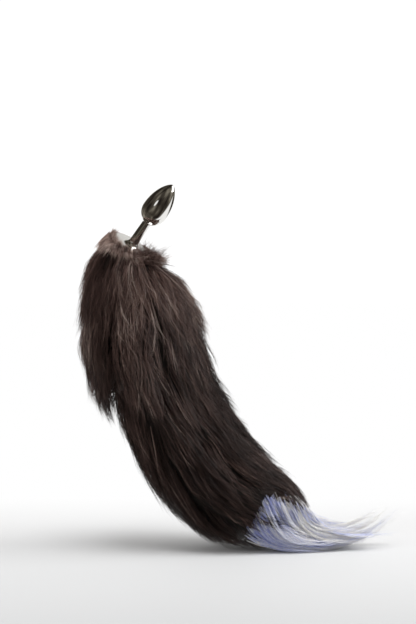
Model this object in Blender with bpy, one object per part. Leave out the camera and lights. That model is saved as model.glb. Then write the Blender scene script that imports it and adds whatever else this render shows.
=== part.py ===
"""A fur tail on a polished metal plug, shown standing on its bent end.

Four pieces: the turned metal plug, the plain socket under its flange that grips the
tail's root, the dark fur, and the pale tuft at its end. The row's origin is the middle
of the flange's upper face, where the wearer's body holds the plug. +X runs the way the
tail trails, +Y away from the viewer and +Z up. Lengths are in metres.
"""

import math
from typing import NamedTuple

import bmesh
import bpy
import numpy as np
from mathutils import Matrix, Vector

# Plug: one turned piece, measured along its own axis from the flange's upper face.
BULB_DIAMETER = 0.028
BULB_LENGTH = 0.049
BULB_WIDEST = 0.0155  # above the neck's end
BULB_TAPER = 0.7  # 0.5 is an ellipse, 1 a parabola
NECK_DIAMETER = 0.008  # under the bulb
NECK_ROOT_DIAMETER = 0.0095  # where its fillet starts
NECK_LENGTH = 0.030
NECK_FILLET = 0.006
FLANGE_DIAMETER = 0.0434
FLANGE_THICKNESS = 0.005
FLANGE_EDGE = 0.0018  # radius of its rounded rim
PLUG_RISE = math.radians(50.5)  # above the horizontal
PLUG_TURN = math.radians(-30.2)  # from +X, towards the viewer

# Socket: the hidden cup that is fastened under the flange.
SOCKET_DIAMETER = 0.026
SOCKET_LENGTH = 0.020
SOCKET_CHAMFER = 0.002

# Fur: the height of the seat over the floor, and the sizes that the tables below share.
SEAT_HEIGHT = 0.313
MANTLE_DROP = 0.178  # from the seat to the hanging hem's points
MANTLE_HALF_WIDTH = 0.058
MANTLE_HALF_DEPTH = 0.054
BRUSH_REACH = 0.140  # from the seat to the dark fur's end, along the floor
BRUSH_HALF_WIDTH = 0.057
BRUSH_HALF_DEPTH = 0.052
TIP_REACH = 0.135  # from the dark fur's end to the last pale hairs
TIP_HALF_WIDTH = 0.028
TIP_HALF_DEPTH = 0.038
TIP_STUB_DIAMETER = 0.026  # the pale tuft's root, inside the dark fur
TIP_STUB_LENGTH = 0.014
TIP_ROOM = 0.0038  # between the tuft's outer form and the dark locks over it

# Locks: pointed leaves that stand a little proud of the fur's backing.
LOCK_WIDTH = 0.023
LOCK_THICKNESS = 0.011
LOCK_POINT = 0.0012
BACKING_SHARE = 0.92  # of the fur's outer form; the locks fill the rest
COLLAR_LOCK_LENGTH = 0.024

FIT_GAP = 0.0003
MERGE = 0.000002
TURNED_SIDES = 32
BACKING_SIDES = 16


class Section(NamedTuple):
    """One cut through the fur, with its lengths as shares of the named sizes."""

    across: float  # its centre, to the right
    drop: float  # its centre, downwards
    tilt: float  # how far its right side hangs down, in degrees
    left: float
    right: float
    front: float
    back: float


class Lock(NamedTuple):
    """A ring of locks around a stretch of fur."""

    root: float  # where the locks leave the backing, as a share of its path
    length: float  # along the path, as a share of it
    count: int
    start: float  # first and last turn around the path, in degrees from the right side
    end: float
    thin: float = 1.0  # of the full lock's width and thickness


# across and drop are shares of MANTLE_HALF_WIDTH and MANTLE_DROP
MANTLE = (
    Section(0.00, 0.00, 34, 0.46, 0.43, 0.50, 0.50),
    Section(-0.03, 0.05, 24, 0.55, 0.72, 0.64, 0.60),
    Section(-0.05, 0.11, 15, 0.68, 0.90, 0.78, 0.72),
    Section(-0.05, 0.24, 5, 0.78, 1.06, 0.92, 0.86),
    Section(0.00, 0.45, 0, 0.87, 1.23, 1.02, 0.96),
    Section(0.07, 0.63, 0, 0.97, 1.31, 1.06, 1.00),
    Section(0.17, 0.79, 0, 0.95, 1.34, 1.04, 1.00),
    Section(0.28, 0.91, 0, 0.90, 1.36, 1.02, 0.98),
    Section(0.36, 1.00, 0, 0.84, 1.38, 1.00, 0.96),
)
MANTLE_BACKING_END = 0.86
# across and drop are shares of BRUSH_REACH and SEAT_HEIGHT
BRUSH = (
    Section(0.01, 0.27, 0, 0.78, 0.80, 0.80, 0.80),
    Section(0.18, 0.43, -18, 0.90, 0.94, 0.92, 0.92),
    Section(0.32, 0.57, -27, 0.98, 1.00, 0.98, 0.98),
    Section(0.45, 0.675, -38, 1.00, 1.02, 1.00, 1.00),
    Section(0.64, 0.785, -49, 0.98, 0.98, 1.00, 1.00),
    Section(0.82, 0.85, -53, 0.90, 0.92, 0.96, 0.96),
    Section(1.00, 0.898, -56, 0.68, 0.80, 0.86, 0.86),
    Section(1.16, 0.925, -60, 0.52, 0.62, 0.74, 0.74),
    Section(1.32, 0.945, -62, 0.38, 0.38, 0.56, 0.56),
)
BRUSH_BACKING_END = 0.80
# across is a share of TIP_REACH from the dark fur's end, drop one of that end's height
TIP = (
    Section(0.00, 0.00, -56, 0.90, 0.62, 0.80, 0.80),
    Section(0.13, 0.40, -52, 0.85, 0.78, 0.96, 0.92),
    Section(0.29, 0.70, -68, 0.60, 0.72, 1.00, 0.90),
    Section(0.50, 0.80, -90, 0.40, 0.54, 0.84, 0.66),
    Section(0.70, 0.68, -104, 0.32, 0.36, 0.52, 0.40),
    Section(0.87, 0.42, -114, 0.16, 0.18, 0.24, 0.22),
    Section(1.00, 0.12, -120, 0.05, 0.05, 0.06, 0.06),
)
TIP_BACKING_END = 0.80

MANTLE_LOCKS = (
    Lock(0.10, 0.42, 13, 0, 360, 0.85),
    Lock(0.34, 0.40, 14, 0, 360),
    Lock(0.60, 0.36, 15, 0, 360),
    Lock(0.74, 0.26, 9, 120, 300, 0.85),
)
BRUSH_LOCKS = (
    Lock(0.30, 0.28, 13, 0, 360),
    Lock(0.47, 0.28, 13, 0, 360),
    Lock(0.62, 0.22, 12, 0, 360, 0.9),
    Lock(0.70, 0.28, 6, -75, 75, 0.75),
)
TIP_LOCKS = (
    Lock(0.10, 0.46, 8, 0, 360, 0.5),
    Lock(0.34, 0.44, 7, 0, 360, 0.45),
    Lock(0.52, 0.46, 5, 0, 360, 0.28),
)
# How far along a lock, how far out (as a share of the fur's outer form) and how wide
LOCK_SHAPE = ((0, 0.84, 0.6), (0.34, 0.94, 1.0), (0.72, 0.98, 0.75), (1, 0.99, 0))
# How far along a collar lock, and how wide
COLLAR_SHAPE = ((0, 1.0), (0.4, 1.0), (0.75, 0.7), (1, 0))
COLLAR_LOCKS = 10


def axis_frame():
    """The matrix that stands +Z along the plug's axis, at the seat."""
    return Matrix.Rotation(PLUG_TURN, 4, "Z") @ Matrix.Rotation(math.pi / 2 - PLUG_RISE, 4, "Y")


class Fur:
    """The outer form of a stretch of fur: its sections, smoothed along its path."""

    def __init__(self, rows, origin, across, drop, half_width, half_depth):
        scale = np.array([across, drop, 1, half_width, half_width, half_depth, half_depth])
        self.origin = Vector(origin)
        self.rows = np.array(rows, float) * scale
        steps = np.linalg.norm(np.diff(self.rows[:, :2], axis=0), axis=1)
        self.knots = np.concatenate([[0], np.cumsum(steps)]) / steps.sum()
        self.slopes = np.gradient(self.rows, self.knots, axis=0)

    def section(self, share):
        """The section at a share of the path, on a smooth curve through the rows."""
        i = int(np.clip(np.searchsorted(self.knots, share, "right") - 1, 0, len(self.knots) - 2))
        span = self.knots[i + 1] - self.knots[i]
        u = (share - self.knots[i]) / span
        rise = u * u * (3 - 2 * u)
        start, end = self.slopes[i] * span, self.slopes[i + 1] * span
        return Section(*(
            self.rows[i] * (1 - rise) + self.rows[i + 1] * rise
            + start * u * (1 - u) ** 2 - end * u * u * (1 - u)
        ))

    def centre(self, share):
        """The middle of the section at a share of the path."""
        at = self.section(share)
        return self.origin + Vector((at.across, 0, -at.drop))

    def point(self, share, turn, out=1.0):
        """A point around the path: turn is from the right side, over the back."""
        at = self.section(share)
        tilt = math.radians(at.tilt)
        sideways = math.cos(turn) * (at.right if math.cos(turn) > 0 else at.left) * out
        deep = math.sin(turn) * (at.back if math.sin(turn) > 0 else at.front) * out
        return self.origin + Vector((
            at.across + sideways * math.cos(tilt), deep, -at.drop - sideways * math.sin(tilt)
        ))


def new_object(name, mesh_builder, material=None):
    """An object named name whose mesh is what mesh_builder leaves in a bmesh."""
    mesh = bpy.data.meshes.new(name)
    bm = bmesh.new()
    mesh_builder(bm)
    bmesh.ops.recalc_face_normals(bm, faces=bm.faces)
    bm.to_mesh(mesh)
    bm.free()
    made = bpy.data.objects.new(name, mesh)
    bpy.context.scene.collection.objects.link(made)
    if material:
        mesh.materials.append(material)
    return made


def helper(made):
    """Marks an object as a cutter or a part of a union, which is no piece of its own."""
    made.hide_render = True
    made.display_type = "WIRE"
    return made


def material(name, colour, roughness, metallic=0.0):
    """A plain Principled material."""
    made = bpy.data.materials.new(name)
    made.use_nodes = True
    shader = made.node_tree.nodes["Principled BSDF"]
    shader.inputs["Base Color"].default_value = (*colour, 1)
    shader.inputs["Roughness"].default_value = roughness
    shader.inputs["Metallic"].default_value = metallic
    return made


def loft(bm, rings):
    """One closed body through rings of points, capped at both ends."""
    loops = []
    for ring in rings:
        corners = [bm.verts.new(point) for point in ring]
        loops.append([bm.edges.new((a, b)) for a, b in zip(corners, corners[1:] + corners[:1])])
    for first, second in zip(loops, loops[1:]):
        bmesh.ops.bridge_loops(bm, edges=first + second)
    for end in (loops[0], loops[-1]):
        bmesh.ops.edgeloop_fill(bm, edges=end)


def turned(bm, profile):
    """A solid of revolution about +Z from (radius, height) points that start and end on it."""
    corners = [bm.verts.new((radius, 0, height)) for radius, height in profile]
    edges = [bm.edges.new(pair) for pair in zip(corners, corners[1:])]
    bmesh.ops.spin(
        bm, geom=corners + edges, cent=(0, 0, 0), axis=(0, 0, 1),
        angle=2 * math.pi, steps=TURNED_SIDES, use_merge=True,
    )
    bmesh.ops.remove_doubles(bm, verts=bm.verts, dist=1e-6)


def arc(centre, radius, start, end, steps):
    """Points (radius, height) on a round, from one angle to another in degrees."""
    angles = [math.radians(start + (end - start) * i / steps) for i in range(steps + 1)]
    return [(centre[0] + radius * math.cos(a), centre[1] + radius * math.sin(a)) for a in angles]


def bulb_radius(height):
    """The bulb's radius at a height above the neck's end."""
    if height < BULB_WIDEST:
        base = NECK_DIAMETER / BULB_DIAMETER
        share = (BULB_WIDEST - height) / BULB_WIDEST * math.sqrt(1 - base * base)
        return BULB_DIAMETER / 2 * math.sqrt(1 - share * share)
    share = (height - BULB_WIDEST) / (BULB_LENGTH - BULB_WIDEST)
    return BULB_DIAMETER / 2 * max(0.0, 1 - share * share) ** BULB_TAPER


def plug_profile():
    """The plug's outline from the flange's back to the bulb's point."""
    rim = FLANGE_DIAMETER / 2
    root = NECK_ROOT_DIAMETER / 2
    lower = [BULB_WIDEST * (1 - math.cos(math.pi / 2 * i / 6)) for i in range(7)]
    upper = [
        BULB_WIDEST + (BULB_LENGTH - BULB_WIDEST) * math.sin(math.pi / 2 * i / 12)
        for i in range(1, 12)
    ]
    return (
        [(0, -FLANGE_THICKNESS)]
        + arc((rim - FLANGE_EDGE, FLANGE_EDGE - FLANGE_THICKNESS), FLANGE_EDGE, -90, 0, 3)
        + arc((rim - FLANGE_EDGE, -FLANGE_EDGE), FLANGE_EDGE, 0, 90, 3)
        + arc((root + NECK_FILLET, NECK_FILLET), NECK_FILLET, 270, 180, 5)
        + [(bulb_radius(h), NECK_LENGTH + h) for h in lower + upper]
        + [(0, NECK_LENGTH + BULB_LENGTH)]
    )


def build_plug(metal):
    """The bulb, neck and flange, turned in one piece."""
    plug = new_object("plug", lambda bm: turned(bm, plug_profile()), metal)
    plug.matrix_world = axis_frame()
    plug.data.shade_smooth()
    plug.data.set_sharp_from_angle(angle=math.radians(35))
    return plug


def socket_profile(gap=0.0):
    """The socket's outline, grown by gap where a cutter needs it."""
    radius = SOCKET_DIAMETER / 2 + gap
    top = -FLANGE_THICKNESS - FIT_GAP
    base = top - SOCKET_LENGTH - gap
    return [(0, base), (radius - SOCKET_CHAMFER, base), (radius, base + SOCKET_CHAMFER),
            (radius, top), (0, top)]


def build_socket(metal):
    """The plain cup under the flange, hidden by the fur."""
    socket = new_object("tail_socket", lambda bm: turned(bm, socket_profile()), metal)
    socket.matrix_world = axis_frame()
    return socket


def plug_room():
    """The space that the fur leaves for the socket, the flange and the neck above it."""
    rim = FLANGE_DIAMETER / 2 + 2 * FIT_GAP
    seat = -FLANGE_THICKNESS - FIT_GAP
    above = NECK_LENGTH + BULB_LENGTH
    profile = socket_profile(FIT_GAP)[:3] + [
        (SOCKET_DIAMETER / 2 + FIT_GAP, seat), (rim, seat), (rim, above), (0, above),
    ]
    room = helper(new_object("plug_room", lambda bm: turned(bm, profile)))
    room.matrix_world = axis_frame()
    return room


def floor_block():
    """What lies under the floor, where no fur reaches."""
    span = 2 * (SEAT_HEIGHT + BRUSH_REACH + TIP_REACH)
    def block(bm):
        bmesh.ops.create_cube(
            bm, size=span, matrix=Matrix.Translation((0, 0, -SEAT_HEIGHT - span / 2))
        )
    return helper(new_object("floor_block", block))


def backing_rings(fur, end, steps, swell):
    """The rings of a fur's backing, from its start to a share of its path."""
    turns = [2 * math.pi * k / BACKING_SIDES for k in range(BACKING_SIDES)]
    return [[fur.point(end * i / steps, turn, swell) for turn in turns] for i in range(steps + 1)]


def lock_rings(fur, root, length, turn, thin):
    """A pointed leaf on the fur's outer form, with its ridge outwards."""
    rings = []
    for along, out, width in LOCK_SHAPE:
        share = root + length * along
        middle = fur.point(share, turn, out)
        sideways = (fur.point(share, turn + 0.05, out) - middle).normalized()
        outwards = (middle - fur.centre(share)).normalized()
        half_width = max(LOCK_POINT, LOCK_WIDTH * width * thin) / 2
        half_thick = max(LOCK_POINT, LOCK_THICKNESS * width * thin) / 2
        rings.append([
            middle + sideways * half_width, middle + outwards * half_thick,
            middle - sideways * half_width, middle - outwards * half_thick,
        ])
    return rings


def spread_locks(bm, fur, rows):
    """Every lock of a fur, staggered so that neighbours end at different places."""
    for row_number, row in enumerate(rows):
        sweep = row.end - row.start
        for k in range(row.count):
            stagger = (k * 0.618 + row_number * 0.37) % 1 - 0.5
            turn = math.radians(row.start + sweep * (k + 0.5 + 0.3 * stagger) / row.count)
            length = row.length * (1 + 0.16 * stagger)
            root = row.root + 0.05 * stagger * row.length
            loft(bm, lock_rings(fur, root, min(length, 1 - root), turn, row.thin))


def collar_locks(bm):
    """Short locks that fan out around the flange, over the mantle's upper end."""
    frame = axis_frame()
    rim = FLANGE_DIAMETER / 2
    for k in range(COLLAR_LOCKS):
        turn = 2 * math.pi * (k + 0.25) / COLLAR_LOCKS
        radial = Vector((math.cos(turn), math.sin(turn), 0))
        lift = 0.35 + 0.6 * math.cos(turn)
        rings = []
        for along, width in COLLAR_SHAPE:
            away = COLLAR_LOCK_LENGTH * along
            rise = away * lift * (1 - 0.45 * along) - 1.8 * FLANGE_THICKNESS
            middle = radial * (rim - FLANGE_THICKNESS + away * 0.9) + Vector((0, 0, rise))
            sideways = Vector((-radial.y, radial.x, 0)) * max(LOCK_POINT, LOCK_WIDTH * width) / 2
            upwards = Vector((0, 0, max(LOCK_POINT, 1.3 * LOCK_THICKNESS * width) / 2))
            rings.append([
                frame @ (middle + side) for side in (sideways, upwards, -sideways, -upwards)
            ])
        loft(bm, rings)


def boolean(made, operation, other, own_parts=False):
    """A Boolean on made, whose operand may be a crowd of overlapping shapes."""
    modifier = made.modifiers.new(operation.title(), "BOOLEAN")
    modifier.operation = operation
    modifier.object = other
    modifier.use_self = own_parts
    return modifier


def settle(made):
    """Bakes an object's Booleans and drops the air pockets that crossing locks shut in."""
    depsgraph = bpy.context.evaluated_depsgraph_get()
    baked = bpy.data.meshes.new_from_object(made.evaluated_get(depsgraph))
    bm = bmesh.new()
    bm.from_mesh(baked)
    bmesh.ops.remove_doubles(bm, verts=bm.verts, dist=MERGE)
    bmesh.ops.triangulate(bm, faces=bm.faces)
    shells = []
    waiting = set(bm.faces)
    while waiting:
        shell = []
        reached = [waiting.pop()]
        while reached:
            face = reached.pop()
            shell.append(face)
            near = {other for edge in face.edges for other in edge.link_faces} & waiting
            waiting -= near
            reached.extend(near)
        shells.append(shell)
    shells.sort(key=lambda shell: sum(face.calc_area() for face in shell))
    spare = [face for shell in shells[:-1] for face in shell]
    bmesh.ops.delete(bm, geom=spare, context="FACES")
    bm.to_mesh(baked)
    bm.free()
    made.modifiers.clear()
    made.data = baked


def dark_end(brush):
    """The middle of the dark fur's end, and the direction in which the path leaves it."""
    end = brush.centre(BRUSH_BACKING_END)
    tilt = math.radians(brush.section(BRUSH_BACKING_END).tilt)
    return end, Vector((-math.sin(tilt), 0, -math.cos(tilt)))


def round_stub(bm, end, outwards, diameter, length):
    """A round stub that ends at a point and runs back from it, against outwards."""
    turn = outwards.to_track_quat("Z", "Y").to_matrix().to_4x4()
    bmesh.ops.create_cone(
        bm, cap_ends=True, segments=BACKING_SIDES, radius1=diameter / 2,
        radius2=diameter / 2, depth=length,
        matrix=Matrix.Translation(end - outwards * length / 2) @ turn,
    )


def tuft_room(tip, outwards):
    """The space that the dark locks leave for the pale tuft under them."""
    def room(bm):
        rings = []
        for i, ring in enumerate(backing_rings(tip, 1.0, 8, 1.0)):
            middle = tip.centre(i / 8)
            rings.append([point + (point - middle).normalized() * TIP_ROOM for point in ring])
        rings[0] = [point - outwards * FIT_GAP for point in rings[0]]
        loft(bm, rings)
    return helper(new_object("tuft_room", room))


def build_dark_fur(mantle, brush, tip, material_made):
    """The mantle that hangs from the flange and the brush under it, with their locks."""
    fur = new_object(
        "dark_fur", lambda bm: loft(bm, backing_rings(mantle, MANTLE_BACKING_END, 10, BACKING_SHARE)), material_made
    )
    def brush_and_locks(bm):
        loft(bm, backing_rings(brush, BRUSH_BACKING_END, 9, BACKING_SHARE))
        spread_locks(bm, mantle, MANTLE_LOCKS)
        spread_locks(bm, brush, BRUSH_LOCKS)
        collar_locks(bm)
    boolean(fur, "UNION", helper(new_object("dark_locks", brush_and_locks)), own_parts=True)
    boolean(fur, "DIFFERENCE", plug_room())
    end, outwards = dark_end(brush)
    def pocket_room(bm):
        round_stub(bm, end + outwards * LOCK_THICKNESS, outwards,
                   TIP_STUB_DIAMETER + 2 * FIT_GAP, TIP_STUB_LENGTH + LOCK_THICKNESS + FIT_GAP)
    pocket = helper(new_object("tip_pocket", pocket_room))
    boolean(fur, "DIFFERENCE", pocket)
    boolean(fur, "DIFFERENCE", tuft_room(tip, outwards))
    boolean(fur, "DIFFERENCE", bpy.data.objects["floor_block"], own_parts=True)
    settle(fur)
    return fur


def build_pale_tip(brush, tip, material_made):
    """The pale tuft: a stub in the dark fur's end, its backing and its locks."""
    fur = new_object(
        "pale_tip", lambda bm: loft(bm, backing_rings(tip, TIP_BACKING_END, 7, BACKING_SHARE)), material_made
    )
    end, outwards = dark_end(brush)
    def stub_and_locks(bm):
        round_stub(bm, end + outwards * TIP_STUB_LENGTH / 2, outwards,
                   TIP_STUB_DIAMETER, TIP_STUB_LENGTH * 1.5)
        spread_locks(bm, tip, TIP_LOCKS)
    boolean(fur, "UNION", helper(new_object("pale_locks", stub_and_locks)), own_parts=True)
    boolean(fur, "DIFFERENCE", bpy.data.objects["floor_block"], own_parts=True)
    settle(fur)
    return fur


def main():
    """Clears the scene and builds the four pieces."""
    for left_over in list(bpy.data.objects):
        bpy.data.objects.remove(left_over)
    metal = material("polished_steel", (0.62, 0.62, 0.61), 0.08, 1.0)
    dull_metal = material("plain_steel", (0.45, 0.45, 0.44), 0.4, 1.0)
    dark = material("dark_brown_fur", (0.028, 0.02, 0.018), 0.6)
    pale = material("pale_blue_fur", (0.52, 0.56, 0.78), 0.6)
    mantle = Fur(MANTLE, (0, 0, 0), MANTLE_HALF_WIDTH, MANTLE_DROP, MANTLE_HALF_WIDTH, MANTLE_HALF_DEPTH)
    brush = Fur(BRUSH, (0, 0, 0), BRUSH_REACH, SEAT_HEIGHT, BRUSH_HALF_WIDTH, BRUSH_HALF_DEPTH)
    end, outwards = dark_end(brush)
    tip = Fur(TIP, end, TIP_REACH, end.z + SEAT_HEIGHT, TIP_HALF_WIDTH, TIP_HALF_DEPTH)
    floor_block()
    build_plug(metal)
    build_socket(dull_metal)
    build_dark_fur(mantle, brush, tip, dark)
    build_pale_tip(brush, tip, pale)


main()
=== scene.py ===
"""Dresses the tail plug: polished metal, dark dyed fur and its pale blue tuft, in a white studio.

The socket stays as the frame has it, the plug is turned again more finely, and both get their
finish here. The fur solids are replaced by an undercoat and by guard hairs, which one Geometry Nodes
tree grows along guide lines in the space that those solids hold. Lengths are in metres, in the frame's own axes.
"""

from __future__ import annotations

import logging
import math
from dataclasses import dataclass, field
from enum import Enum
from typing import Any, Sequence

import bpy
import numpy as np
from mathutils import Matrix

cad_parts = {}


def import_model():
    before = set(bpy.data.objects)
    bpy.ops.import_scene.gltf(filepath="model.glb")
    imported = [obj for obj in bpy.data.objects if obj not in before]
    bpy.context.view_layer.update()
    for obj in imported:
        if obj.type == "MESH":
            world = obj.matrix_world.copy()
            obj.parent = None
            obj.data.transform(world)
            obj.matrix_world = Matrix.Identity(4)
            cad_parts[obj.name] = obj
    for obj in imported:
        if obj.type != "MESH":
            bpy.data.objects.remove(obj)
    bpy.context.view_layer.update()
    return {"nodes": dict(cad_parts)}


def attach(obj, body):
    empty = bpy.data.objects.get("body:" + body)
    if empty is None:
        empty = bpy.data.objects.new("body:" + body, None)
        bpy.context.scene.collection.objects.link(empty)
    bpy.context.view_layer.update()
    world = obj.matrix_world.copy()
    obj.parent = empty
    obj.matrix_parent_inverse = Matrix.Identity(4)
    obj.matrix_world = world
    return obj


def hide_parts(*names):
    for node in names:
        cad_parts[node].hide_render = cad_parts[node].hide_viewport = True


LOG = logging.getLogger("tail_plug")

# The frame's own sizes that the fur's form is worked out from.
SEAT_HEIGHT = 0.313
MANTLE_DROP = 0.178
MANTLE_HALF_WIDTH = 0.058
MANTLE_HALF_DEPTH = 0.054
BRUSH_REACH = 0.140
BRUSH_HALF_WIDTH = 0.057
BRUSH_HALF_DEPTH = 0.052
BRUSH_BACKING_END = 0.80
TIP_REACH = 0.135
TIP_HALF_WIDTH = 0.028
TIP_HALF_DEPTH = 0.038
FLANGE_RADIUS = 0.0217
FLANGE_THICKNESS = 0.005
BRUSH_SHARE_END = 0.815  # where the dark hair stops at the front, so that the pale tuft shows
PLUG_RISE = math.radians(50.5)
PLUG_TURN = math.radians(-30.2)

# Columns: across, drop, tilt in degrees, then the reach to the left, right, front and back.
# Lengths are shares of the sizes above.
MANTLE = (
    (0.00, 0.00, 34, 0.46, 0.43, 0.50, 0.50),
    (-0.03, 0.05, 24, 0.55, 0.72, 0.64, 0.60),
    (-0.05, 0.11, 15, 0.68, 0.90, 0.78, 0.72),
    (-0.05, 0.24, 5, 0.78, 1.06, 0.92, 0.86),
    (0.00, 0.45, 0, 0.87, 1.23, 1.02, 0.96),
    (0.07, 0.63, 0, 0.97, 1.31, 1.06, 1.00),
    (0.17, 0.79, 0, 0.95, 1.34, 1.04, 1.00),
    (0.28, 0.91, 0, 0.98, 1.36, 1.02, 0.98),
    (0.36, 1.00, 0, 0.96, 1.38, 1.00, 0.96),
)
BRUSH = (
    (0.01, 0.27, 0, 0.78, 0.80, 0.80, 0.80),
    (0.18, 0.43, -18, 0.90, 0.94, 0.92, 0.92),
    (0.32, 0.57, -27, 0.98, 1.00, 0.98, 0.98),
    (0.45, 0.675, -38, 1.00, 1.02, 1.00, 1.00),
    (0.64, 0.785, -49, 0.98, 0.98, 1.00, 1.00),
    (0.82, 0.85, -53, 0.90, 0.92, 0.96, 0.96),
    (1.00, 0.898, -56, 0.68, 0.80, 0.86, 0.86),
    (1.16, 0.925, -60, 0.52, 0.54, 0.74, 0.74),
    (1.32, 0.945, -62, 0.38, 0.22, 0.56, 0.56),
)
TIP = (
    (0.00, 0.00, -56, 0.90, 0.95, 0.84, 0.80),
    (0.13, 0.40, -52, 0.85, 1.12, 1.00, 0.92),
    (0.29, 0.70, -68, 0.60, 0.96, 1.04, 0.90),
    (0.50, 0.80, -90, 0.40, 0.60, 0.86, 0.66),
    (0.70, 0.68, -104, 0.36, 0.42, 0.52, 0.44),
    (0.88, 0.44, -112, 0.36, 0.42, 0.42, 0.38),
    (1.00, 0.12, -120, 0.34, 0.38, 0.36, 0.34),
)


class Coat(Enum):
    """The two dye lots of the fur, by the record's material slots."""

    DARK = "dark_brown_fur"
    PALE = "pale_blue_fur"


def linear(colour: str) -> tuple[float, float, float, float]:
    """Turns an sRGB hex colour into linear values.

    Args:
        colour: Six hex digits after a number sign.

    Returns:
        Linear red, green and blue, and an alpha of one.
    """
    parts = [int(colour[i:i + 2], 16) / 255 for i in (1, 3, 5)]
    red, green, blue = (p / 12.92 if p <= 0.04045 else ((p + 0.055) / 1.055) ** 2.4 for p in parts)
    return red, green, blue, 1.0


def add_node(
    tree: bpy.types.NodeTree,
    kind: str,
    settings: dict[str, Any] | None = None,
    links: dict[str | int, Any] | None = None,
) -> bpy.types.Node:
    """Adds a node to a tree.

    Args:
        tree: The tree that gets the node.
        kind: The node's type name.
        settings: Values of the node's own properties.
        links: Input name or number to an output socket, or to a value.

    Returns:
        The new node.
    """
    node = tree.nodes.new(kind)
    for name, value in (settings or {}).items():
        setattr(node, name, value)
    for name, value in (links or {}).items():
        if isinstance(value, bpy.types.NodeSocket):
            tree.links.new(value, node.inputs[name])
        else:
            node.inputs[name].default_value = value
    return node


def add_ramp(
    tree: bpy.types.NodeTree, factor: bpy.types.NodeSocket, stops: Sequence[tuple[float, str]]
) -> bpy.types.NodeSocket:
    """Adds a colour ramp and gives its colour.

    Args:
        tree: The tree that gets the ramp.
        factor: What drives the ramp.
        stops: Positions and hex colours.

    Returns:
        The ramp's colour output.
    """
    node = add_node(tree, "ShaderNodeValToRGB", links={0: factor})
    elements = node.color_ramp.elements
    while len(elements) < len(stops):
        elements.new(0.5)
    for element, (position, colour) in zip(elements, stops):
        element.position = position
        element.color = linear(colour)
    return node.outputs["Color"]


def new_material(name: str) -> tuple[bpy.types.Material, bpy.types.Node]:
    """Makes a material with a Principled shader.

    Args:
        name: The material's name.

    Returns:
        The material and its shader node.
    """
    made = bpy.data.materials.new(name)
    made.use_nodes = True
    return made, made.node_tree.nodes["Principled BSDF"]


@dataclass(frozen=True)
class PolishedSteel:
    """Stainless steel, turned and buffed to a mirror: crisp reflections, faintly warm."""

    colour: str = "#dddcd9"
    roughness: float = 0.045

    def make(self) -> bpy.types.Material:
        """Returns the material."""
        made, shader = new_material("mirror_buffed_stainless_steel")
        tree = made.node_tree
        place = add_node(tree, "ShaderNodeTexCoord").outputs["Object"]
        # Buffing leaves faint waves about 9 mm long, which bend the reflections a little.
        waves = add_node(tree, "ShaderNodeTexNoise", links={
            "Vector": place, "Scale": 110.0, "Detail": 1.0, "Roughness": 0.4})
        # Fingered and wiped places are a touch less bright.
        smears = add_node(tree, "ShaderNodeTexNoise", links={
            "Vector": place, "Scale": 260.0, "Detail": 3.0, "Roughness": 0.6})
        rough = add_node(tree, "ShaderNodeMapRange", links={
            "Value": smears.outputs["Fac"], "From Min": 0.3, "From Max": 0.7,
            "To Min": self.roughness * 0.7, "To Max": self.roughness * 1.5})
        bump = add_node(tree, "ShaderNodeBump", links={
            "Strength": 0.06, "Distance": 0.0006, "Height": waves.outputs["Fac"]})
        tree.links.new(rough.outputs["Result"], shader.inputs["Roughness"])
        tree.links.new(bump.outputs["Normal"], shader.inputs["Normal"])
        shader.inputs["Base Color"].default_value = linear(self.colour)
        shader.inputs["Metallic"].default_value = 1.0
        return made


@dataclass(frozen=True)
class TurnedSteel:
    """Plain turned steel: fine rings from the tool, a dull sheen."""

    colour: str = "#8f8d89"
    roughness: float = 0.38

    def make(self) -> bpy.types.Material:
        """Returns the material."""
        made, shader = new_material("plain_turned_steel")
        tree = made.node_tree
        place = add_node(tree, "ShaderNodeTexCoord").outputs["Object"]
        # Tool marks about 0.4 mm apart.
        rings = add_node(tree, "ShaderNodeTexNoise", links={
            "Vector": place, "Scale": 2500.0, "Detail": 2.0})
        bump = add_node(tree, "ShaderNodeBump", links={
            "Strength": 0.2, "Distance": 0.0001, "Height": rings.outputs["Fac"]})
        tree.links.new(bump.outputs["Normal"], shader.inputs["Normal"])
        shader.inputs["Base Color"].default_value = linear(self.colour)
        shader.inputs["Metallic"].default_value = 1.0
        shader.inputs["Roughness"].default_value = self.roughness
        return made


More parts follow.
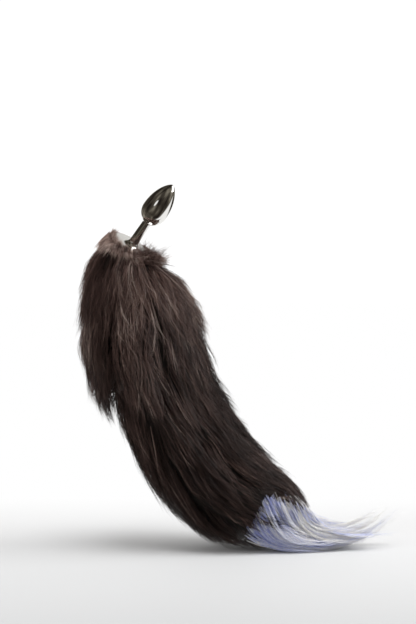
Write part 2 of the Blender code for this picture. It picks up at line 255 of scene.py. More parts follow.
@dataclass(frozen=True)
class GuardHair:
    """Long glossy hair, dyed in the skein: each hair has its own depth of colour.

    The stops run from the deepest to the lightest hair, and the tips have their own colours.
    """

    name: str
    roots: tuple[tuple[float, str], ...]
    tips: tuple[tuple[float, str], ...]
    tip_start: float
    roughness: float
    patch_size: float
    patch_strength: float

    def make(self) -> bpy.types.Material:
        """Returns the material, which reads the hair's tone and the place along it."""
        made, shader = new_material(self.name)
        tree = made.node_tree
        tone = add_node(tree, "ShaderNodeAttribute", {"attribute_name": "tone"}).outputs["Fac"]
        along = add_node(tree, "ShaderNodeAttribute", {"attribute_name": "along"}).outputs["Fac"]
        place = add_node(tree, "ShaderNodeTexCoord").outputs["Object"]
        # The dye takes unevenly, in soft patches a few centimetres wide.
        patches = add_node(tree, "ShaderNodeTexNoise", links={
            "Vector": place, "Scale": 1 / self.patch_size, "Detail": 2.0})
        shift = add_node(tree, "ShaderNodeMath", {"operation": "MULTIPLY_ADD"}, {
            0: patches.outputs["Fac"], 1: self.patch_strength, 2: -0.5 * self.patch_strength})
        mixed = add_node(tree, "ShaderNodeMath", {"operation": "ADD", "use_clamp": True}, {
            0: tone, 1: shift.outputs[0]}).outputs[0]
        root_colour = add_ramp(tree, mixed, self.roots)
        tip_colour = add_ramp(tree, mixed, self.tips)
        blend = add_node(tree, "ShaderNodeMapRange", {"interpolation_type": "SMOOTHSTEP"}, {
            "Value": along, "From Min": self.tip_start, "From Max": 1.0})
        colour = add_node(tree, "ShaderNodeMix", {"data_type": "RGBA"}, {
            "Factor": blend.outputs["Result"]})
        tree.links.new(root_colour, colour.inputs[6])
        tree.links.new(tip_colour, colour.inputs[7])
        tree.links.new(colour.outputs[2], shader.inputs["Base Color"])
        # Keratin: an IOR of about 1.55, smooth scales.
        shader.inputs["IOR"].default_value = 1.55
        shader.inputs["Roughness"].default_value = self.roughness
        return made


@dataclass(frozen=True)
class Underfur:
    """The dense short wool under the guard hair: matt, dark, streaked along the flow."""

    name: str
    stops: tuple[tuple[float, str], ...]
    streak_width: float = 0.0011

    def make(self) -> bpy.types.Material:
        """Returns the material, whose streaks follow the piece's own map."""
        made, shader = new_material(self.name)
        tree = made.node_tree
        flow = add_node(tree, "ShaderNodeUVMap", {"uv_map": "flow"}).outputs["UV"]
        # The map is in metres along the flow and around it, so streaks are about a millimetre wide.
        stretched = add_node(tree, "ShaderNodeMapping", links={
            "Vector": flow, "Scale": (1 / self.streak_width, 0.045 / self.streak_width, 1.0)})
        streaks = add_node(tree, "ShaderNodeTexNoise", links={
            "Vector": stretched.outputs["Vector"], "Scale": 1.0, "Detail": 4.0, "Roughness": 0.65})
        tree.links.new(add_ramp(tree, streaks.outputs["Fac"], self.stops), shader.inputs["Base Color"])
        bump = add_node(tree, "ShaderNodeBump", links={
            "Strength": 0.8, "Distance": 0.0015, "Height": streaks.outputs["Fac"]})
        tree.links.new(bump.outputs["Normal"], shader.inputs["Normal"])
        shader.inputs["Roughness"].default_value = 0.7
        return made


DARK_HAIR = GuardHair(
    name="dyed_dark_brown_guard_hair",
    roots=((0.0, "#1a110f"), (0.4, "#3a2a26"), (0.75, "#6b544d"), (1.0, "#a89389")),
    tips=((0.0, "#211614"), (0.4, "#483631"), (0.75, "#806860"), (1.0, "#cbb9ae")),
    tip_start=0.25,
    roughness=0.38,
    patch_size=0.035,
    patch_strength=0.35,
)
PALE_HAIR = GuardHair(
    name="dyed_periwinkle_guard_hair",
    roots=((0.0, "#8f98d8"), (0.35, "#b6bff4"), (0.65, "#e8ebfb"), (1.0, "#fffdf8")),
    tips=((0.0, "#bcc2ec"), (0.35, "#e0e4fb"), (0.65, "#fafbff"), (1.0, "#fffdf8")),
    tip_start=0.2,
    roughness=0.42,
    patch_size=0.02,
    patch_strength=0.5,
)
DARK_UNDERFUR = Underfur("dark_brown_underfur", ((0.25, "#0b0807"), (0.6, "#1d1613"), (0.85, "#3a2d28")))
PALE_UNDERFUR = Underfur("periwinkle_underfur", ((0.25, "#8088c4"), (0.6, "#aab2e4"), (0.85, "#dcdff5")))


class FurForm:
    """The outer form of a stretch of fur, as a place for each share, turn and reach."""

    def __init__(
        self,
        rows: Sequence[Sequence[float]],
        origin: Sequence[float],
        sizes: tuple[float, float, float, float],
    ) -> None:
        """Smooths the sections along their path.

        Args:
            rows: The sections' columns.
            origin: Where the path is measured from.
            sizes: The lengths that across, drop, sideways and depth are shares of.
        """
        across, drop, width, depth = sizes
        self.origin = np.array(origin, float)
        self.rows = np.array(rows, float) * np.array([across, drop, 1, width, width, depth, depth])
        steps = np.linalg.norm(np.diff(self.rows[:, :2], axis=0), axis=1)
        self.length = float(steps.sum())
        self.knots = np.concatenate([[0], np.cumsum(steps)]) / self.length
        self.slopes = np.gradient(self.rows, self.knots, axis=0)

    def sections(self, share: np.ndarray) -> np.ndarray:
        """Gives the sections at shares of the path; past an end they run on straight.

        Args:
            share: Shares of the path.

        Returns:
            One row of section values for each share.
        """
        inside = np.clip(share, 0, 1)
        i = np.clip(np.searchsorted(self.knots, inside, "right") - 1, 0, len(self.knots) - 2)
        span = (self.knots[i + 1] - self.knots[i])[:, None]
        u = (inside - self.knots[i])[:, None] / span
        rise = u * u * (3 - 2 * u)
        here = self.rows[i] * (1 - rise) + self.rows[i + 1] * rise
        here += self.slopes[i] * span * u * (1 - u) ** 2 - self.slopes[i + 1] * span * u * u * (1 - u)
        past = (share - inside)[:, None]
        here[:, :2] += past * np.where(past < 0, self.slopes[0][:2], self.slopes[-1][:2])
        return here

    def points(self, share: np.ndarray, turn: np.ndarray, reach: np.ndarray) -> np.ndarray:
        """Gives places on or inside the form.

        Args:
            share: Shares of the path.
            turn: Angles from the right side, over the back.
            reach: How far out, as a share of the form.

        Returns:
            One point for each.
        """
        at = self.sections(share)
        tilt = np.radians(at[:, 2])
        cosine, sine = np.cos(turn), np.sin(turn)
        sideways = cosine * np.where(cosine > 0, at[:, 4], at[:, 3]) * reach
        deep = sine * np.where(sine > 0, at[:, 6], at[:, 5]) * reach
        return self.origin + np.stack([
            at[:, 0] + sideways * np.cos(tilt), deep, -at[:, 1] - sideways * np.sin(tilt)
        ], axis=1)


@dataclass
class Growth:
    """How the locks of one stretch of fur grow.

    Shares are of the form's path, turns are in degrees, and lengths in metres. The two ends are the
    last shares that tips reach, on the sides and along the top. The hollow is the deep parting on the
    near left, under the roll; there the hairs lie lower and their tone is darkened as painted shade.
    """

    locks: int
    guides: int
    hairs: int
    roots: tuple[float, float]
    length: tuple[float, float]
    turns: tuple[float, float] = (0.0, 360.0)
    root_reach: tuple[float, float] = (0.74, 0.86)
    tip_reach: tuple[float, float] = (0.95, 1.03)
    lock_width: float = 0.013
    gather: float = 0.4
    sway: float = 0.0035
    hair_width: float = 0.00038
    points: int = 5
    top: tuple[float, float] = (0.55, 0.85)
    root_spread: float = 0.0011
    tip_spread: float = 0.0006
    frizz: float = 0.0016
    tone: tuple[float, float] = (0.15, 0.55)
    light_share: float = 0.08
    light_gain: tuple[float, float] = (0.25, 0.5)
    strays: float = 0.15
    wander: float = 0.03
    ends: tuple[float, float] = (9.0, 9.0)
    hollow: bool = False
    seed: int = 1


@dataclass
class Guides:
    """Guide lines and what the tree reads at their points."""

    lines: np.ndarray
    outward: np.ndarray
    tone: np.ndarray

    def joined(self, other: "Guides") -> "Guides":
        """Returns these guides and the other ones together."""
        return Guides(
            np.concatenate([self.lines, other.lines]),
            np.concatenate([self.outward, other.outward]),
            np.concatenate([self.tone, other.tone]),
        )


GUIDE_POINTS = 9
FLOOR_CLEARANCE = 0.0006


def grow_guides(form: FurForm, growth: Growth) -> Guides:
    """Lays guide lines over a form, in pointed locks that flow along its path.

    Args:
        form: The outer form.
        growth: How the locks grow.

    Returns:
        The guide lines.
    """
    rng = np.random.default_rng(growth.seed)
    count = growth.locks * growth.guides
    index = np.arange(growth.locks)
    # A low-discrepancy spread keeps locks from bunching up or leaving holes.
    lock_share = growth.roots[0] + (growth.roots[1] - growth.roots[0]) * ((index * 0.7548777 + 0.5) % 1)
    sweep = math.radians(growth.turns[1] - growth.turns[0])
    lock_turn = math.radians(growth.turns[0]) + sweep * ((index * 0.5698403 + 0.37) % 1)
    lock_length = rng.uniform(*growth.length, growth.locks) / form.length
    lock_tip = rng.uniform(*growth.tip_reach, growth.locks)
    lock_drift = rng.normal(0, 0.07, growth.locks)
    lock_phase = rng.uniform(0, 2 * math.pi, growth.locks)
    lock_tone = rng.uniform(*growth.tone, growth.locks)
    which = np.repeat(index, growth.guides)
    width = growth.lock_width * rng.uniform(0.7, 1.3, growth.locks)[which]
    radius = form.sections(lock_share)[:, 3:7].mean(axis=1)[which]
    offset = rng.uniform(-1, 1, (count, 2))
    s = np.linspace(0, 1, GUIDE_POINTS)
    share0 = np.maximum(lock_share[which] + offset[:, 0] * width / form.length, growth.roots[0])
    turn0 = lock_turn[which] + offset[:, 1] * width / radius
    length = lock_length[which] * rng.uniform(0.82, 1.08, count)
    along_top = np.clip((np.cos(turn0) - growth.top[0]) / (growth.top[1] - growth.top[0]), 0, 1)
    ragged = rng.uniform(-0.05, 0.01, growth.locks)[which] + rng.uniform(-0.03, 0.01, count)
    last = growth.ends[0] + (growth.ends[1] - growth.ends[0]) * along_top + ragged
    length = np.clip(length, 0.02 / form.length, np.maximum(last - share0, 0.02 / form.length))
    root_reach = rng.uniform(*growth.root_reach, count)
    tip_reach = lock_tip[which] + rng.normal(0, 0.012, count)
    stray = rng.random(count) < growth.strays
    tip_reach = np.where(stray, tip_reach + rng.uniform(0.02, 0.10, count), tip_reach)
    share = share0[:, None] + length[:, None] * s
    # Hairs of a lock draw together towards its point.
    drawn = growth.gather * s ** 1.5
    lock_line = lock_turn[which][:, None] + lock_drift[which][:, None] * s ** 1.6
    turn = turn0[:, None] * (1 - drawn) + lock_line * drawn + lock_drift[which][:, None] * s ** 1.6 * (1 - drawn)
    wave = np.sin(s * 5.2 + lock_phase[which][:, None]) * s * growth.sway / radius[:, None]
    turn = turn + wave + rng.normal(0, growth.wander, count)[:, None] * s
    reach = root_reach[:, None] + (tip_reach - root_reach)[:, None] * (1 - (1 - s) ** 2.2)
    # Painted shade: in the hollow the hairs' tone is darkened, as well as the hairs lying lower.
    painted_shade = np.ones(count)
    if growth.hollow:
        around = (turn - math.radians(226) + math.pi) % (2 * math.pi) - math.pi
        near = np.exp(-((share - 0.15) / 0.09) ** 2 - (around / 0.34) ** 2)
        reach = reach * (1 - 0.22 * near)
        painted_shade = 1 - 0.6 * near.max(axis=1)
    lines = form.points(share.ravel(), turn.ravel(), reach.ravel())
    middle = form.points(share.ravel(), turn.ravel(), np.zeros(share.size))
    outward = lines - middle
    outward /= np.linalg.norm(outward, axis=1)[:, None] + 1e-9
    lines[:, 2] = np.maximum(lines[:, 2], -SEAT_HEIGHT + FLOOR_CLEARANCE)
    # A few strands are much lighter than the rest; in the dark fur they stand partly for painted highlights on single
    # hairs.
    light = np.where(rng.random(count) < growth.light_share, rng.uniform(*growth.light_gain, count), 0)
    tone = np.clip(lock_tone[which] + rng.normal(0, 0.13, count) + light, 0, 1) * painted_shade
    shape = (count, GUIDE_POINTS, 3)
    return Guides(lines.reshape(shape), outward.reshape(shape), tone)


def guide_object(name: str, guides: Guides) -> bpy.types.Object:
    """Makes an object whose edges are the guide lines.

    Args:
        name: The object's name.
        guides: The guide lines.

    Returns:
        The object, with the attributes that the hair tree reads.
    """
    count, points, _ = guides.lines.shape
    mesh = bpy.data.meshes.new(name)
    mesh.vertices.add(count * points)
    mesh.vertices.foreach_set("co", guides.lines.astype(np.float32).ravel())
    first = (np.arange(count) * points)[:, None] + np.arange(points - 1)
    mesh.edges.add(count * (points - 1))
    mesh.edges.foreach_set("vertices", np.stack([first, first + 1], axis=2).astype(np.int32).ravel())
    mesh.attributes.new("outward", "FLOAT_VECTOR", "POINT").data.foreach_set(
        "vector", guides.outward.astype(np.float32).ravel())
    mesh.attributes.new("tone", "FLOAT", "POINT").data.foreach_set(
        "value", np.repeat(guides.tone, points).astype(np.float32))
    mesh.update()
    made = bpy.data.objects.new(name, mesh)
    bpy.context.scene.collection.objects.link(made)
    return made


class HairTree:
    """The Geometry Nodes tree that grows a tuft of tapering hairs around every guide line."""

    INPUTS = (
        ("Hairs", "NodeSocketInt", 12),
        ("Points", "NodeSocketInt", 5),
        ("Hair Width", "NodeSocketFloat", 0.0004),
        ("Root Spread", "NodeSocketFloat", 0.003),
        ("Tip Spread", "NodeSocketFloat", 0.0015),
        ("Frizz", "NodeSocketFloat", 0.0015),
        ("Floor", "NodeSocketFloat", -SEAT_HEIGHT),
        ("Seed", "NodeSocketInt", 1),
        ("Finish", "NodeSocketMaterial", None),
    )

    def __init__(self) -> None:
        """Builds the tree."""
        self.tree = bpy.data.node_groups.new("hairs_around_guides", "GeometryNodeTree")
        interface = self.tree.interface
        interface.new_socket("Geometry", in_out="OUTPUT", socket_type="NodeSocketGeometry")
        interface.new_socket("Geometry", in_out="INPUT", socket_type="NodeSocketGeometry")
        for name, kind, value in self.INPUTS:
            socket = interface.new_socket(name, in_out="INPUT", socket_type=kind)
            if value is not None:
                socket.default_value = value
        self.build()

    def add(self, kind: str, settings: dict[str, Any] | None = None, links: dict[Any, Any] | None = None) -> bpy.types.Node:
        """Adds a node to this tree."""
        return add_node(self.tree, kind, settings, links)

    def maths(self, operation: str, *values: Any) -> bpy.types.NodeSocket:
        """Adds a sum of two or three values and returns its output."""
        return self.add("ShaderNodeMath", {"operation": operation}, dict(enumerate(values))).outputs[0]

    def scaled(self, vector: bpy.types.NodeSocket, factor: bpy.types.NodeSocket) -> bpy.types.NodeSocket:
        """Adds a vector times a number and returns its output."""
        node = self.add("ShaderNodeVectorMath", {"operation": "SCALE"}, {0: vector, "Scale": factor})
        return node.outputs[0]

    def per_hair(self, low: float, high: float, salt: int) -> bpy.types.NodeSocket:
        """Adds a random number that is the same all along a hair.

        Args:
            low: The least value.
            high: The greatest value.
            salt: What sets this number apart from the others.

        Returns:
            The number's output.
        """
        seed = self.maths("ADD", self.inputs["Seed"], float(salt))
        value = self.add("FunctionNodeRandomValue", {"data_type": "FLOAT"}, {2: low, 3: high, 8: seed})
        held = self.add("GeometryNodeFieldOnDomain", {"data_type": "FLOAT", "domain": "CURVE"}, {
            0: value.outputs[1]})
        return held.outputs[0]

    def build(self) -> None:
        """Adds the nodes: curves, copies, trimming, spreading, tapering, skin and finish."""
        group = self.add("NodeGroupInput")
        self.inputs = group.outputs
        curves = self.add("GeometryNodeMeshToCurve", links={0: group.outputs["Geometry"]})
        copies = self.add("GeometryNodeDuplicateElements", {"domain": "SPLINE"}, {
            0: curves.outputs[0], "Amount": group.outputs["Hairs"]})
        trimmed = self.add("GeometryNodeTrimCurve", {"mode": "FACTOR"}, {
            0: copies.outputs[0], "Start": 0.0, "End": self.per_hair(0.72, 1.0, 11)})
        resampled = self.add("GeometryNodeResampleCurve", {"mode": "COUNT"}, {
            0: trimmed.outputs[0], "Count": group.outputs["Points"]})
        along = self.add("GeometryNodeSplineParameter").outputs["Factor"]
        stored = self.add("GeometryNodeStoreNamedAttribute", {"data_type": "FLOAT", "domain": "POINT"}, {
            0: resampled.outputs[0], "Name": "along", "Value": along})
        tone = self.add("GeometryNodeInputNamedAttribute", {"data_type": "FLOAT"}, {"Name": "tone"})
        toned = self.add("GeometryNodeStoreNamedAttribute", {"data_type": "FLOAT", "domain": "POINT"}, {
            0: stored.outputs[0], "Name": "tone",
            "Value": self.maths("ADD", tone.outputs[0], self.per_hair(-0.14, 0.16, 29))})
        moved = self.add("GeometryNodeSetPosition", links={
            0: toned.outputs[0], "Offset": self.spread(along)})
        above = self.above_floor(moved.outputs[0])
        profile = self.add("GeometryNodeCurvePrimitiveCircle", {"mode": "RADIUS"}, {
            "Resolution": 3, "Radius": 1.0})
        skin = self.add("GeometryNodeCurveToMesh", links={
            0: above, 1: profile.outputs[0], "Scale": self.taper(along), "Fill Caps": True})
        smooth = self.add("GeometryNodeSetShadeSmooth", links={0: skin.outputs[0], "Shade Smooth": True})
        finished = self.add("GeometryNodeSetMaterial", links={
            0: smooth.outputs[0], "Material": group.outputs["Finish"]})
        real = self.add("GeometryNodeRealizeInstances", links={0: finished.outputs[0]})
        self.add("NodeGroupOutput", links={0: real.outputs[0]})

    def spread(self, along: bpy.types.NodeSocket) -> bpy.types.NodeSocket:
        """Adds each hair's place beside its guide, closer at the tip, with its own slight waves.

        Args:
            along: The place along the hair.

        Returns:
            The offset's output.
        """
        outward = self.add("GeometryNodeInputNamedAttribute", {"data_type": "FLOAT_VECTOR"}, {
            "Name": "outward"}).outputs[0]
        tangent = self.add("GeometryNodeInputTangent").outputs[0]
        sideways = self.add("ShaderNodeVectorMath", {"operation": "CROSS_PRODUCT"}, {
            0: outward, 1: tangent}).outputs[0]
        reach = self.add("ShaderNodeMapRange", links={
            "Value": along, "To Min": self.inputs["Root Spread"], "To Max": self.inputs["Tip Spread"]})
        reach = reach.outputs["Result"]
        beside = self.scaled(sideways, self.maths("MULTIPLY", reach, self.per_hair(-1.0, 1.0, 3)))
        out = self.scaled(outward, self.maths(
            "MULTIPLY", self.maths("MULTIPLY", reach, 0.55), self.per_hair(-1.0, 1.0, 5)))
        together = self.add("ShaderNodeVectorMath", {"operation": "ADD"}, {0: beside, 1: out})
        place = self.add("GeometryNodeInputPosition").outputs[0]
        own = self.add("ShaderNodeCombineXYZ", links={
            0: self.per_hair(0.0, 9.0, 41), 1: self.per_hair(0.0, 9.0, 43), 2: self.per_hair(0.0, 9.0, 47)})
        # Waves about 30 mm long, drawn apart for each hair.
        waved = self.add("ShaderNodeVectorMath", {"operation": "MULTIPLY_ADD"}, {
            0: place, 1: (33.0, 33.0, 33.0), 2: self.scaled(own.outputs[0], 0.35)})
        noise = self.add("ShaderNodeTexNoise", links={"Vector": waved.outputs[0], "Scale": 1.0, "Detail": 1.0})
        centred = self.add("ShaderNodeVectorMath", {"operation": "SUBTRACT"}, {
            0: noise.outputs["Color"], 1: (0.5, 0.5, 0.5)})
        amount = self.maths("MULTIPLY", self.maths("POWER", along, 1.3), self.inputs["Frizz"])
        frizz = self.scaled(centred.outputs[0], self.maths("MULTIPLY", amount, 6.0))
        return self.add("ShaderNodeVectorMath", {"operation": "ADD"}, {
            0: together.outputs[0], 1: frizz}).outputs[0]

    def above_floor(self, geometry: bpy.types.NodeSocket) -> bpy.types.NodeSocket:
        """Adds a lift for what would sink into the floor and returns the geometry."""
        place = self.add("GeometryNodeInputPosition").outputs[0]
        parts = self.add("ShaderNodeSeparateXYZ", links={0: place})
        lifted = self.add("ShaderNodeCombineXYZ", links={
            0: parts.outputs[0], 1: parts.outputs[1],
            2: self.maths("MAXIMUM", parts.outputs[2], self.maths("ADD", self.inputs["Floor"], 0.0004))})
        return self.add("GeometryNodeSetPosition", links={
            0: geometry, "Position": lifted.outputs[0]}).outputs[0]

    def taper(self, along: bpy.types.NodeSocket) -> bpy.types.NodeSocket:
        """Adds the hair's radius: full in the middle, fine at the tip.

        Args:
            along: The place along the hair.

        Returns:
            The radius's output.
        """
        fade = self.maths("SUBTRACT", 1.0, self.maths("POWER", along, 2.2))
        body = self.maths("MULTIPLY_ADD", fade, 0.88, 0.12)
        width = self.maths("MULTIPLY", self.inputs["Hair Width"], self.per_hair(0.36, 0.66, 17))
        return self.maths("MULTIPLY", body, width)

    def grow(self, name: str, guides: Guides, growth: Growth, finish: bpy.types.Material) -> bpy.types.Object:
        """Grows hairs around guides and gives them as a plain mesh.

        Args:
            name: The piece's name.
            guides: The guide lines.
            growth: The hair's sizes and seed.
            finish: The hair's material.

        Returns:
            The piece.
        """
        guide = guide_object(name + "_guides", guides)
        modifier = guide.modifiers.new("Hairs", "NODES")
        modifier.node_group = self.tree
        values = {
            "Hairs": growth.hairs, "Points": growth.points, "Hair Width": growth.hair_width, "Root Spread": growth.root_spread,
            "Tip Spread": growth.tip_spread, "Frizz": growth.frizz, "Seed": growth.seed, "Finish": finish,
        }
        for item in self.tree.interface.items_tree:
            if item.item_type == "SOCKET" and item.in_out == "INPUT" and item.name in values:
                modifier[item.identifier] = values[item.name]
        bpy.context.view_layer.update()
        depsgraph = bpy.context.evaluated_depsgraph_get()
        mesh = bpy.data.meshes.new_from_object(guide.evaluated_get(depsgraph), depsgraph=depsgraph)
        mesh.name = name
        bpy.data.objects.remove(guide)
        made = bpy.data.objects.new(name, mesh)
        bpy.context.scene.collection.objects.link(made)
        return made


def triangles(piece: bpy.types.Object) -> int:
    """Returns how many triangles a piece's mesh has."""
    return sum(len(face.vertices) - 2 for face in piece.data.polygons)


def dressed(piece: bpy.types.Object, coat: Coat, *nodes: str) -> bpy.types.Object:
    """Ties a piece of fur to the frame and reports it.

    Args:
        piece: The finished piece.
        coat: The dye lot it belongs to; not used.
        nodes: The frame's nodes that it stands for.

    Returns:
        The same piece.
    """
    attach(piece, "root")
    if nodes:
        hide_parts(*nodes)
    LOG.info("%s: %d triangles", piece.name, triangles(piece))
    return piece


def undercoat(
    name: str, form: FurForm, span: tuple[float, float], reach: float, finish: bpy.types.Material, seed: int
) -> bpy.types.Object:
    """Makes the closed body under the guard hairs, furrowed along the flow.

    Args:
        name: The piece's name.
        form: The outer form.
        span: Where along the path it starts and ends, as shares.
        reach: How far out it comes, as a share of the form.
        finish: Its material.
        seed: What sets its furrows apart.

    Returns:
        The piece.
    """
    rings, sides = 40, 60
    rng = np.random.default_rng(seed)
    phases = rng.uniform(0, 2 * math.pi, 6)
    s = np.linspace(0, 1, rings)
    turn = np.linspace(0, 2 * math.pi, sides, endpoint=False)
    share, around = np.meshgrid(span[0] + (span[1] - span[0]) * s, turn, indexing="ij")
    # Rounded at both ends, so that no edge of it shows between the hairs.
    ends = np.minimum(1, np.minimum(s / 0.08, (1 - s) / 0.16))
    rounded = np.sqrt(np.clip(1 - (1 - ends) ** 2, 0, 1))
    furrows = sum(
        np.sin(around * k + phases[i] + 2.5 * np.sin(share * 7 + phases[-1 - i])) / 3
        for i, k in enumerate((9, 14, 23))
    )
    out = reach * (0.05 + 0.95 * rounded)[:, None] * (1 + 0.02 * furrows)
    points = form.points(share.ravel(), around.ravel(), out.ravel())
    points[:, 2] = np.maximum(points[:, 2], -SEAT_HEIGHT + 0.0003)
    caps = [len(points), len(points) + 1]
    ends_at = form.points(np.array(span), np.zeros(2), np.zeros(2))
    ends_at[:, 2] = np.maximum(ends_at[:, 2], -SEAT_HEIGHT + 0.0003)
    faces = []
    for i in range(rings - 1):
        for k in range(sides):
            after = (k + 1) % sides
            faces.append((i * sides + k, i * sides + after, (i + 1) * sides + after, (i + 1) * sides + k))
    last = (rings - 1) * sides
    for k in range(sides):
        after = (k + 1) % sides
        faces.append((caps[0], after, k))
        faces.append((caps[1], last + k, last + after))
    mesh = bpy.data.meshes.new(name)
    mesh.from_pydata(np.concatenate([points, ends_at]).tolist(), [], faces)
    flow = mesh.uv_layers.new(name="flow")
    girth = 2 * math.pi * 0.05
    span_length = (span[1] - span[0]) * form.length
    at = []
    for face in faces:
        rows = [v // sides if v < len(points) else (0 if v == caps[0] else rings - 1) for v in face]
        turns = [v % sides if v < len(points) else None for v in face]
        known = [t for t in turns if t is not None]
        wraps = max(known) - min(known) > sides / 2
        for row, t in zip(rows, turns):
            t = known[0] if t is None else t
            t = t + sides if wraps and t < sides / 2 else t
            at.extend((t / sides * girth, row / (rings - 1) * span_length))
    flow.data.foreach_set("uv", at)
    mesh.shade_smooth()
    mesh.materials.append(finish)
    mesh.update()
    made = bpy.data.objects.new(name, mesh)
    bpy.context.scene.collection.objects.link(made)
    return made


@dataclass
class Mantle:
    """The long hair that fans out under the flange and hangs down around the tail's root."""

    form: FurForm = field(default_factory=lambda: FurForm(
        MANTLE, (0, 0, 0), (MANTLE_HALF_WIDTH, MANTLE_DROP, MANTLE_HALF_WIDTH, MANTLE_HALF_DEPTH)))
    # The coats that grow towards the flange have lighter tones: partly the hair's own colour, partly painted light
    # from above.
    coats: tuple[Growth, ...] = (
        Growth(locks=50, guides=30, hairs=3, roots=(0.46, 0.84), length=(0.040, 0.064), seed=11,
               root_reach=(0.50, 0.88), tip_reach=(0.86, 1.05), ends=(1.03, 1.25), gather=0.6,
               tone=(0.08, 0.42)),
        Growth(locks=60, guides=30, hairs=3, roots=(0.20, 0.60), length=(0.045, 0.072), seed=12,
               tone=(0.12, 0.44), wander=0.06, ends=(1.0, 1.2), light_share=0.10, frizz=0.002),
        Growth(locks=62, guides=30, hairs=3, roots=(0.02, 0.32), length=(0.035, 0.062), seed=13,
               tip_reach=(0.97, 1.07), tone=(0.24, 0.68), wander=0.10, light_share=0.18, frizz=0.0036,
               hollow=True),
    )

    def build(self, tree: HairTree, hair: bpy.types.Material, wool: bpy.types.Material) -> list[bpy.types.Object]:
        """Builds the undercoat and the two layers of guard hair.

        Args:
            tree: The hair tree.
            hair: The guard hair's material.
            wool: The undercoat's material.

        Returns:
            The pieces.
        """
        body = undercoat("mantle_undercoat", self.form, (0.02, 0.88), 0.76, wool, 5)
        pieces = [dressed(body, Coat.DARK, "dark_fur")]
        for number, growth in enumerate(self.coats):
            guides = grow_guides(self.form, growth)
            pieces.append(dressed(tree.grow(f"mantle_hair_{number + 1}", guides, growth, hair), Coat.DARK))
        return pieces


@dataclass
class Brush:
    """The long hair of the tail itself, from under the mantle to the floor."""

    form: FurForm = field(default_factory=lambda: FurForm(
        BRUSH, (0, 0, 0), (BRUSH_REACH, SEAT_HEIGHT, BRUSH_HALF_WIDTH, BRUSH_HALF_DEPTH)))
    # Darker tones than the mantle's: partly the hair's own colour, partly painted shade low on the tail.
    coats: tuple[Growth, ...] = (
        Growth(locks=62, guides=30, hairs=3, roots=(0.46, 0.86), length=(0.036, 0.070), seed=21,
               top=(0.40, 0.85), ends=(BRUSH_SHARE_END, 1.0), tone=(0.0, 0.34)),
        Growth(locks=58, guides=30, hairs=3, roots=(0.16, 0.54), length=(0.055, 0.085), seed=22,
               tip_reach=(0.96, 1.03), tone=(0.0, 0.36)),
    )

    def build(self, tree: HairTree, hair: bpy.types.Material, wool: bpy.types.Material) -> list[bpy.types.Object]:
        """Builds the undercoat and the two layers of guard hair.

        Args:
            tree: The hair tree.
            hair: The guard hair's material.
            wool: The undercoat's material.

        Returns:
            The pieces.
        """
        body = undercoat("brush_undercoat", self.form, (0.0, 0.90), 0.82, wool, 6)
        pieces = [dressed(body, Coat.DARK)]
        for number, growth in enumerate(self.coats):
            guides = grow_guides(self.form, growth)
            pieces.append(dressed(tree.grow(f"brush_hair_{number + 1}", guides, growth, hair), Coat.DARK))
        return pieces


